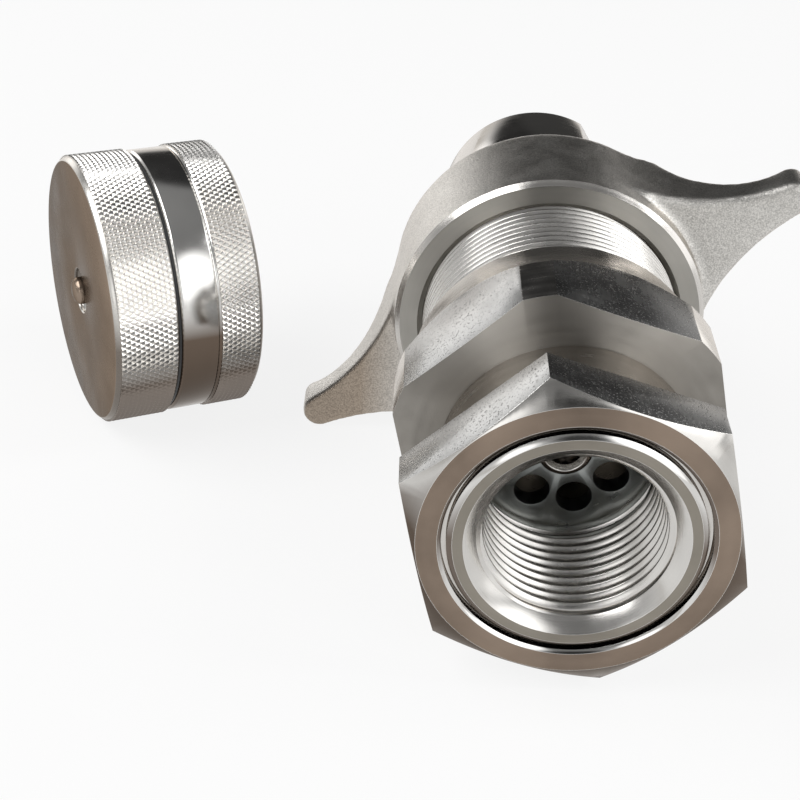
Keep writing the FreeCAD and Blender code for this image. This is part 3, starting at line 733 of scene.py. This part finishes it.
# %% Male body
SECOND_FLATS, SECOND_FRONT, SECOND_BACK = 58.0, 26.6, 46.0
COLLAR, BARREL, THREAD_START, BARREL_BACK = 28.2, 24.77, 57.0, 84.5
POPPET_BORE, POPPET_SEAT, FACE = 14.8, 11.4, 82.0
male = hexagon_bar("male_coupler_body", SECOND_FLATS, SECOND_FRONT - 1, SECOND_BACK + 1)
carve(male, turned_tool("cones", [(0, SECOND_FRONT), (23.4, SECOND_FRONT), (31.9, 28.0), (31.9, 41.0),
                                  (29.01, SECOND_BACK), (0, SECOND_BACK)]), "INTERSECT")
carve(male, turned_tool("barrel", [
    (0, 45.0), (COLLAR, 45.0), (COLLAR, 54.0), (COLLAR - 0.5, 54.5), (24.6, 54.5), (24.6, 56.8),
    (BARREL, THREAD_START), (BARREL, BARREL_BACK), (0, BARREL_BACK)]), "UNION")
carve(male, turned_tool("hollow", [
    (0, 25.6), (SPIGOT + 0.03, 25.6), (SPIGOT + 0.03, 44.0), (POPPET_BORE, 44.0), (POPPET_BORE, 76.0),
    (12.9, 77.2), (POPPET_SEAT, 79.2), (POPPET_SEAT, 82.9), (0, 82.9)]))
carve(male, turned_tool("cup", [
    (0, FACE), (17.0, FACE), (17.0, 64.9), (17.4, 64.5), (20.6, 64.5), (21.05, 64.9),
    (21.05, BARREL_BACK - 0.5), (21.55, BARREL_BACK), (21.55, 86.0), (0, 86.0)]))


def male_finish(radius, y, normal):
    """The finish of a face of the male body."""
    if radius > 28.3 and y < SECOND_BACK and on_flat(normal):
        return drawn_bar
    # The second hexagon's front face takes painted shade.
    if y < 28.1 and radius > 23:
        return corner_shade_face
    # The poppet's bore is painted dark as shade.
    if radius < 14.9 and y < 78:
        return painted_bore_shade
    return coned if 28.1 < y < 46.1 and radius > 28 and abs(normal.y) > 0.1 else turned


paint(male, (turned, drawn_bar, corner_shade_face, coned, edge_wear_and_highlight, painted_bore_shade), male_finish)
break_edges(male, 0.15, finish=edge_wear_and_highlight)
male_thread = thread_ridge("male_thread", start=57.6, turns=12.9, **OUTER_THREAD)
trim_ridge(male_thread, lambda y: min(24.9 + max(0.0, y - THREAD_START), CHAMFER + (BARREL_BACK - y)),
           keep_outside=False)
join(male, male_thread)
finish_piece(male, "stainless_turned", None, "male_body")

# %% [markdown]
# ## Valve guide and bush
#
# Deep in the port a plate with eight holes carries the poppet's bush. Oil flows through the holes. The
# plate is a turned disc with a skirt, and a drill, which is a cylinder primitive, cuts one hole after
# another on a circle. The skirt behind the plate is painted dark as shade, so that the holes read as deep.

# %% Guide and bush
def drill(obj, radius, circle, first, count, start, end):
    """Cut a ring of round holes along the axis."""
    for i in range(count):
        a = math.radians(first + 360 * i / count)
        middle = (circle * math.cos(a) * MM, (start + end) / 2 * MM, circle * math.sin(a) * MM)
        bpy.ops.mesh.primitive_cylinder_add(vertices=40, radius=radius * MM, depth=(end - start) * MM,
                                            location=middle, rotation=(math.pi / 2, 0, 0))
        carve(obj, apply_place(bpy.context.active_object))
    print(obj.name, "has", count, "holes")


OIL_HOLE = 3.3
PLATE_BACK = 32.6
guide = lathe("poppet_guide", [(4.42, GUIDE_SEAT), (17.85, GUIDE_SEAT), (17.85, 44.0), (16.3, 44.0),
                               (16.3, PLATE_BACK + 0.6), (15.7, PLATE_BACK), (4.42, PLATE_BACK)])
drill(guide, OIL_HOLE, circle=10.3, first=-75.0, count=8, start=GUIDE_SEAT - 1, end=PLATE_BACK + 1)
break_edges(guide, 0.25)
# The guide's skirt behind the plate is painted dark as shade.
paint(guide, (dull, painted_bore_shade), lambda radius, y, normal: painted_bore_shade if y > 32.8 else dull)
finish_piece(guide, "stainless_dull", None, "valve_guide")

bush = lathe("poppet_bush", [(3.9, 27.8), (4.55, 27.8), (5.0, 28.25), (5.0, 28.59), (4.4, 28.59), (4.4, 46.0),
                             (3.05, 46.0), (3.05, 28.65)], 96)
break_edges(bush, 0.08)
finish_piece(bush, "stainless_polished", polished, "guide_bush")

# %% [markdown]
# ## Poppet
#
# The poppet closes the male half. Its flat face ends level with the island around it, so no oil drips
# when the halves part. Its slim stem slides in the bush.

# %% Poppet
poppet = lathe("valve_poppet", [(0, 38.0), (2.5, 38.0), (3.0, 38.5), (3.0, 70.0), (6.6, 70.0), (6.6, 72.0),
                                (12.6, 75.93), (12.6, 77.53), (12.55, 77.6), (10.45, 77.6), (10.45, 79.2),
                                (11.35, 79.2), (11.35, 81.85), (11.2, 82.0), (0, 82.0)])
break_edges(poppet, 0.10)
finish_piece(poppet, "stainless_turned", turned, "poppet")

# %% [markdown]
# ## Seal rings
#
# An O-ring is a torus, and a real one has a faint flash line where the two halves of its mould met. The
# line is the ring's outermost edge loop pushed out a little.

# %% O-rings
FLASH_DEPTH, FLASH = 0.012, 0.02


def o_ring(name, stands_for, radius, cord, y):
    """A moulded ring with a flash line on its outer edge. cord is the radius of its round section."""
    section = cord - FLASH_DEPTH
    bpy.ops.mesh.primitive_torus_add(major_segments=120, minor_segments=16, major_radius=radius * MM,
                                     minor_radius=section * MM, location=(0, y * MM, 0),
                                     rotation=(math.pi / 2, 0, 0))
    ring = apply_place(bpy.context.active_object)
    ring.name = ring.data.name = name
    for vertex in ring.data.vertices:
        if math.hypot(vertex.co.x, vertex.co.z) / MM > radius + section * 0.995:
            vertex.co.x *= 1 + FLASH / (radius + cord)
            vertex.co.z *= 1 + FLASH / (radius + cord)
    return finish_piece(ring, "black_rubber", rubber, stands_for)


o_ring("adapter_o_ring", "front_adapter_o_ring", radius=20.25, cord=0.75, y=29.6)
o_ring("poppet_face_seal", "poppet_seal", radius=11.15, cord=0.68, y=78.32)
o_ring("stem_head_seal", "stem_seal", radius=10.6, cord=0.75, y=84.65)

# %% Packing and backup ring
packing = lathe("nose_packing", [(17.12, 84.4), (17.5, 84.03), (18.6, 84.03), (18.97, 84.4), (18.97, 86.2),
                                 (18.6, 86.57), (17.5, 86.57), (17.12, 86.2)], 120)
break_edges(packing, 0.2, angle=20)
finish_piece(packing, "black_rubber", rubber, "packing_o_ring")
backup = lathe("nose_backup_ring", [(17.12, 86.62), (18.95, 86.62), (18.95, 87.97), (17.12, 87.97)], 120)
break_edges(backup, 0.12)
finish_piece(backup, "white_ptfe", ptfe, "backup_ring")

# %% [markdown]
# ## Female half: nose, body, sleeve and stem
#
# The female half shows when the coupler is apart. A flat-faced sleeve slides in the nose around a fixed
# stem, and both end in one plane. The stem is held by a drilled bridge. All are turned pieces, so each is
# one outline. The rear body has the second port, two milled wrench flats and a groove for the nut's ring.
# Each flat is what a block leaves when it is cut away from the round body.

# %% Nose, sleeve, stem and bridge
NOSE, NOSE_BORE, SLIDE_BORE = 21.0, 17.1, 18.1
nose = lathe("nose_sleeve", [
    (NOSE_BORE, 78.8), (17.9, 78.0), (20.2, 78.0), (NOSE, 78.8), (NOSE, 97.0), (19.45, 97.0), (19.45, 103.0),
    (SLIDE_BORE, 103.0), (SLIDE_BORE, 90.0), (NOSE_BORE, 90.0), (NOSE_BORE, 88.0), (19.0, 88.0), (19.0, 84.0),
    (NOSE_BORE, 84.0)])
break_edges(nose, 0.08)
finish_piece(nose, "stainless_polished", polished, "female_nose")
sleeve = lathe("flat_face_sleeve", [(11.4, FACE), (17.05, FACE), (17.05, 90.0), (18.05, 90.0),
                                    (18.05, 94.0), (14.6, 94.0), (14.6, 90.0), (11.4, 87.0)])
break_edges(sleeve, 0.12)
finish_piece(sleeve, "stainless_turned", turned, "valve_sleeve")
stem = lathe("flat_face_stem", [
    (0, FACE), (11.15, FACE), (11.35, 82.2), (11.35, 83.8), (9.85, 83.8), (9.85, 85.5), (11.35, 85.5),
    (11.35, 88.0), (5.0, 91.0), (5.0, 114.5), (4.0, 114.5), (4.0, 120.0), (3.5, 120.5), (0, 120.5)])
break_edges(stem, 0.08)
finish_piece(stem, "stainless_turned", turned, "fixed_valve_stem")
bridge = lathe("stem_holder", [(4.0, 114.5), (15.07, 114.5), (15.07, 119.0), (4.0, 119.0)])
drill(bridge, OIL_HOLE, circle=10.05, first=30.0, count=6, start=113.5, end=120.0)
break_edges(bridge, 0.2)
finish_piece(bridge, "stainless_dull", dull, "stem_bridge")

# %% Rear body
REAR, REAR_END = 21.0, 140.0
WRENCH_FLAT, WRENCH_START, WRENCH_TURN = 18.0, 124.0, 32.6
BLOCK = (10.0, 41.0, 60.0)
rear = lathe("rear_body", [
    (0, 97.0), (24.2, 97.0), (24.6, 97.4), (24.6, 100.8), (REAR, 100.8), (REAR, 104.3), (19.9, 104.3),
    (19.9, 105.75), (REAR, 105.75), (REAR, REAR_END - 0.8), (REAR - 0.8, REAR_END), (0, REAR_END)])
for side in (0, 180):
    middle = ((WRENCH_FLAT + BLOCK[0] / 2) * MM, (WRENCH_START + BLOCK[1] / 2) * MM, 0)
    bpy.ops.mesh.primitive_cube_add(size=1.0, location=middle)
    block = bpy.context.active_object
    block.scale = [size * MM for size in BLOCK]
    carve(rear, turn(apply_place(block), WRENCH_TURN + side))
inside = lathe("inside", [
    (0, 96.0), (19.48, 96.0), (19.48, 103.0), (SLIDE_BORE, 103.0), (SLIDE_BORE, 112.0), (13.4, 112.0),
    (13.4, 114.5), (15.1, 114.5), (15.1, 119.0), (16.0, 119.0), (16.0, 120.25), (15.1, 120.25), (15.1, 121.5),
    (PORT_BORE, 121.5), (PORT_BORE, REAR_END - 1.5), (18.12, REAR_END), (19.12, REAR_END + 1),
    (0, REAR_END + 1)])
carve(rear, inside)
break_edges(rear, 0.12)
paint(rear, (turned, polished),
      lambda radius, y, normal: polished if radius > 17 and y > 104 and abs(normal.y) < 0.1 else turned)
rear_thread = thread_ridge("rear_thread", start=122.6, turns=7.0, **PORT_THREAD)
trim_ridge(rear_thread, lambda y: 18.14 - (REAR_END - y), keep_outside=True)
join(rear, rear_thread)
finish_piece(rear, "stainless_turned", None, "female_body")

# %% [markdown]
# ## Retaining rings
#
# A retaining ring is a flat spring ring with a gap, so that it can be sprung into its groove. It starts
# as a turned washer, a block cuts the gap, and its edges are rounded as a stamping's are.

# %% Retaining rings
BLOCK_REACH, BLOCK_SIZE = 20.1, (6.0, 20.0)


def open_ring(name, stands_for, inner, outer, front, back, gap, at_top):
    """A spring ring whose gap is at the bottom or at the top."""
    ring = lathe(name, [(inner, front), (outer, front), (outer, back), (inner, back)], 120)
    reach = BLOCK_REACH if at_top else -BLOCK_REACH
    bpy.ops.mesh.primitive_cube_add(size=1.0, location=(0, front * MM, reach * MM))
    block = bpy.context.active_object
    block.scale = (gap * MM, BLOCK_SIZE[0] * MM, BLOCK_SIZE[1] * MM)
    carve(ring, apply_place(block))
    break_edges(ring, 0.16)
    return finish_piece(ring, "spring_steel", spring_wire, stands_for)


open_ring("nut_spring_ring", "nut_retaining_ring", inner=19.92, outer=23.2, front=104.32, back=105.7,
          gap=5.0, at_top=False)
open_ring("bridge_spring_ring", "bridge_retaining_ring", inner=13.5, outer=15.9, front=119.0, back=120.2,
          gap=6.0, at_top=True)

# %% [markdown]
# ## Springs
#
# A coil spring is a round wire carried along a helix by the Screw modifier. Its ends are ground flat,
# which is a plane cut with Bisect.

# %% Coil springs
WIRE_SIDES, STEPS_A_TURN, GROUND = 12, 48, 0.9


def coil_spring(name, stands_for, radius, cord, start, end, turns):
    """A wound wire round the Y axis. Grinding takes GROUND of its radius off each end."""
    bpy.ops.mesh.primitive_circle_add(vertices=WIRE_SIDES, radius=cord * MM,
                                      location=(radius * MM, (start - GROUND * cord) * MM, 0))
    wire = apply_place(bpy.context.active_object)
    wire.name = wire.data.name = name
    length, steps = end - start + 2 * GROUND * cord, int(turns * STEPS_A_TURN)
    modify(wire, "SCREW", axis="Y", angle=2 * math.pi * turns, screw_offset=length * MM, steps=steps,
           render_steps=steps)
    edit_all(wire)
    bpy.ops.mesh.fill_holes(sides=WIRE_SIDES)
    for y, side in ((start, -1), (end, 1)):
        bpy.ops.mesh.select_all(action="SELECT")
        bpy.ops.mesh.bisect(plane_co=(0, y * MM, 0), plane_no=(0, side, 0), use_fill=True, clear_outer=True)
    close_mesh()
    finish_piece(wire, "spring_steel", spring_wire, stands_for)
    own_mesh(wire)
    return wire


coil_spring("poppet_coil_spring", "poppet_spring", radius=5.2, cord=0.58, start=32.62,
            end=69.98, turns=11.3)
coil_spring("sleeve_coil_spring", "sleeve_spring", radius=16.4, cord=0.78, start=94.02,
            end=111.98, turns=3.4)

# %% [markdown]
# ## Wing nut
#
# The nut is cast in one with its wings, blasted with grit, and then machined only where it has to fit. A
# hard CAD edge between wing and body would look wrong, so the mesh is made as the foundry makes it: a
# blank with the wings and some stock on its face, melted together by a voxel Remesh, softened by a Smooth
# modifier and left slightly uneven by a Displace modifier. Only then do the lathe cuts give it its crisp
# face, thread and bore.

# %% Cast blank
VOXEL, SAND, SAND_HEIGHT = 0.6, 3.5, 0.12
blank = nodes["wing_nut"].copy()
blank.data = blank.data.copy()
blank.name = blank.data.name = "cast_wing_nut"
blank.parent = None
bpy.context.scene.collection.objects.link(blank)
edit_all(blank)
bpy.ops.mesh.remove_doubles(threshold=2e-6)
bpy.ops.mesh.customdata_custom_splitnormals_clear()
bpy.ops.object.mode_set(mode="OBJECT")
blank.location.y = ORIGIN * MM
apply_place(blank)
stock = lathe("stock", [(0, 74.2), (31.3, 74.2), (31.6, 75.4), (31.6, 99.5), (30.8, 101.8), (28.8, 103.4),
                        (26.6, 104.0), (0, 104.0)])
join(blank, stock)
uneven = bpy.data.textures.new("foundry_sand", "CLOUDS")
uneven.noise_scale = SAND * MM
modify(blank, "REMESH", mode="VOXEL", voxel_size=VOXEL * MM)
modify(blank, "SMOOTH", factor=0.6, iterations=9)
modify(blank, "DISPLACE", texture=uneven, texture_coords="LOCAL", strength=SAND_HEIGHT * MM, mid_level=0.6)
print("cast blank:", len(blank.data.polygons), "faces")

# %% Machining the nut
NUT_FACE, NUT_RIM = 75.6, 33.6
cuts = lathe("cuts", [(0, 70.0), (NUT_RIM, 70.0), (NUT_RIM, 78.6), (30.6, NUT_FACE), (27.0, NUT_FACE),
                      (26.03, 76.6), (26.03, 101.0), (21.05, 101.0), (21.05, 106.0), (0, 106.0)])
carve(blank, cuts, "DIFFERENCE", "MANIFOLD")


def nut_finish(radius, y, normal):
    """The finish of a face of the nut."""
    if radius < 27.2 or (y < 78.7 and normal.y < -0.99):
        return turned_face
    return turned if y < 78.7 and -0.85 < normal.y < -0.6 and radius < NUT_RIM + 0.1 else cast


paint(blank, (cast, turned_face, turned), nut_finish)
nut_thread = thread_ridge("nut_thread", start=78.6, turns=10.9, **NUT_THREAD)
trim_ridge(nut_thread, lambda y: 27.0 - (y - NUT_FACE), keep_outside=True)
join(blank, nut_thread)
finish_piece(blank, "stainless_cast", None, "wing_nut")

# %% [markdown]
# ## Knurling
#
# Knurled rims give the fingers a grip. The roller presses two sets of crossing grooves, which leaves rows
# of little pyramids. One pyramid is modelled from a four-sided circle with an inset top, a second one is
# set half a step away, and Array modifiers repeat the pair into a strip that is trimmed to whole steps. A
# place along the strip then becomes an angle round the axis, which closes it into a band without a seam,
# and Solidify gives it a wall that sits in the turned rim.

# %% Knurled band
KNURL_DEPTH, KNURL_WALL = 0.34, 0.4


def knurled_band(name, radius, start, end, around, rows):
    """A band of diamond pyramids round the Y axis."""
    base = (radius - KNURL_DEPTH) * MM
    length = 2 * math.pi * base
    wide, high = length / around, (end - start) / rows * MM
    bpy.ops.mesh.primitive_circle_add(vertices=4, radius=0.5, fill_type="NGON", rotation=(0, -math.pi / 2, 0))
    band = bpy.context.active_object
    band.name = band.data.name = name
    apply_place(band)
    for vertex in band.data.vertices:
        vertex.co = (0, vertex.co.y * high, vertex.co.z * wide)
    edit_all(band)
    bpy.ops.mesh.inset(thickness=0.34 * wide)
    bpy.ops.transform.translate(value=(-KNURL_DEPTH * MM, 0, 0))
    bpy.ops.mesh.select_all(action="SELECT")
    bpy.ops.mesh.duplicate_move(TRANSFORM_OT_translate={"value": (0, high / 2, wide / 2)})
    bpy.ops.object.mode_set(mode="OBJECT")
    for count, offset in ((rows + 1, (0, high, 0)), (around + 1, (0, 0, wide))):
        modify(band, "ARRAY", count=count, use_relative_offset=False, use_constant_offset=True,
               constant_offset_displace=offset)
    edit_all(band)
    bpy.ops.mesh.remove_doubles(threshold=2e-6)
    for edge, outward in (((0, 0, 0), (0, -1, 0)), ((0, (end - start) * MM, 0), (0, 1, 0)),
                          ((0, 0, 0), (0, 0, -1)), ((0, 0, length), (0, 0, 1))):
        bpy.ops.mesh.select_all(action="SELECT")
        bpy.ops.mesh.bisect(plane_co=edge, plane_no=outward, clear_outer=True)
    bpy.ops.object.mode_set(mode="OBJECT")
    for vertex in band.data.vertices:
        angle = vertex.co.z / base
        reach = base - vertex.co.x
        vertex.co = (reach * math.sin(angle), vertex.co.y + start * MM, reach * math.cos(angle))
    edit_all(band)
    close_mesh()
    modify(band, "SOLIDIFY", thickness=KNURL_WALL * MM, offset=-1)
    paint(band, (knurled,), lambda radius, y, normal: knurled)
    print(name, "has", 2 * around * rows, "pyramids")
    return band


# %% [markdown]
# ## Dust plug and dust cap
#
# With the coupler in use, its two dust covers are screwed together and kept clean. They are modelled
# standing on their own axis, finished, and then laid down beside the coupler. The plug has a wide knurled
# rim and a smooth face with a stud for a lanyard. The cap has a polished band and a narrower knurled rim.

# %% Laying the pair down
PAIR_PLACE, PAIR_HEADING, PAIR_RADIUS = (-97.75, 84.85), 25.15, 28.2


def lay_down(obj):
    """Turn a piece of the pair from its own axis to where it lies on the floor."""
    obj.rotation_euler = (0, 0, math.radians(PAIR_HEADING - 90))
    obj.location = [place * MM for place in (*PAIR_PLACE, FLOOR + PAIR_RADIUS)]
    return apply_place(obj)


print("the pair's axis is", round(FLOOR + PAIR_RADIUS, 1), "mm high")

# %% Dust plug
COVER_STEPS = 146
dust_plug = lathe("dust_plug_body", [
    (0, 1.8), (3.4, 1.8), (4.6, 0.8), (4.6, 0.25), (4.85, 0), (26.7, 0), (27.2, 0.2), (27.75, 0.95),
    (27.82, 1.2), (27.82, 12.4), (27.4, 13.1), (24.8, 13.1), (24.8, 24.0), (24.3, 24.5), (21.4, 24.5),
    (21.4, 6.0), (20.4, 5.0), (2.05, 5.0), (0, 5.0)], COVER_STEPS)
break_edges(dust_plug, 0.15)
# The plug's face takes the painted brown reflection.
paint(dust_plug, (plug_face, plain),
      lambda radius, y, normal: plug_face if y < 1.2 and normal.y < -0.9 else plain)
plug_knurl = knurled_band("plug_knurl", radius=28.17, start=1.15, end=12.6, around=146, rows=6)
plug_thread = thread_ridge("plug_thread", start=15.9, turns=3.8, **OUTER_THREAD)
trim_ridge(plug_thread, lambda y: CHAMFER + max(0.0, 24.5 - y), keep_outside=False)
join(dust_plug, plug_knurl, plug_thread)
finish_piece(lay_down(dust_plug), "stainless_knurled", None, "dust_plug")

# %% Dust cap
dust_cap = lathe("dust_cap_body", [
    (26.65, 13.75), (27.3, 13.7), (27.8, 14.2), (27.8, 21.2), (27.55, 21.45), (27.55, 21.8), (27.84, 22.1),
    (27.84, 29.9), (27.4, 30.5), (26.8, 31.0), (0, 31.0), (0, 28.0), (26.05, 28.0), (26.05, 14.3)],
    COVER_STEPS)
break_edges(dust_cap, 0.12)
paint(dust_cap, (bright, plain), lambda radius, y, normal: plain if y > 22.0 or radius < 27 else bright)
cap_knurl = knurled_band("cap_knurl", radius=28.18, start=22.05, end=29.95, around=150, rows=4)
join(dust_cap, cap_knurl)
finish_piece(lay_down(dust_cap), "stainless_knurled", None, "dust_cap")

# %% Lanyard studs
for name, seat, outward, shank, stands_for in (("plug_lanyard_stud", 1.8, -1, 3.8, "dust_plug_stud"),
                                               ("cap_lanyard_stud", 31.0, 1, 3.0, "dust_cap_stud")):
    head = [(radius, seat + outward * height)
            for radius, height in ((0, 3.4), (1.3, 3.35), (2.3, 3.0), (2.85, 2.3), (2.9, 0.25))]
    foot = [(2.7, seat), (2.0, seat), (2.0, seat - outward * shank), (0, seat - outward * shank)]
    stud = lathe(name, head + foot, 64)
    break_edges(stud, 0.12)
    # The studs take the plug face's painted brown reflection and shade.
    finish_piece(lay_down(stud), "stainless_polished", plug_face, stands_for)

# %% Seal and gasket
seal = lathe("plug_flat_seal", [(24.87, 13.12), (27.3, 13.12), (27.3, 13.68), (24.87, 13.68)], 120)
break_edges(seal, 0.15)
finish_piece(lay_down(seal), "black_rubber", rubber, "dust_plug_o_ring")
gasket = lathe("cap_gasket", [(20.02, 26.42), (25.68, 26.42), (25.68, 27.98), (20.02, 27.98)], 120)
break_edges(gasket, 0.2)
finish_piece(lay_down(gasket), "black_rubber", rubber, "dust_cap_gasket")

# %% [markdown]
# ## The finished pieces
#
# The number of finished pieces and of their faces is printed.

# %% Pieces and faces
print("pieces:", len(pieces), "faces:", sum(len(piece.data.polygons) for piece in pieces))
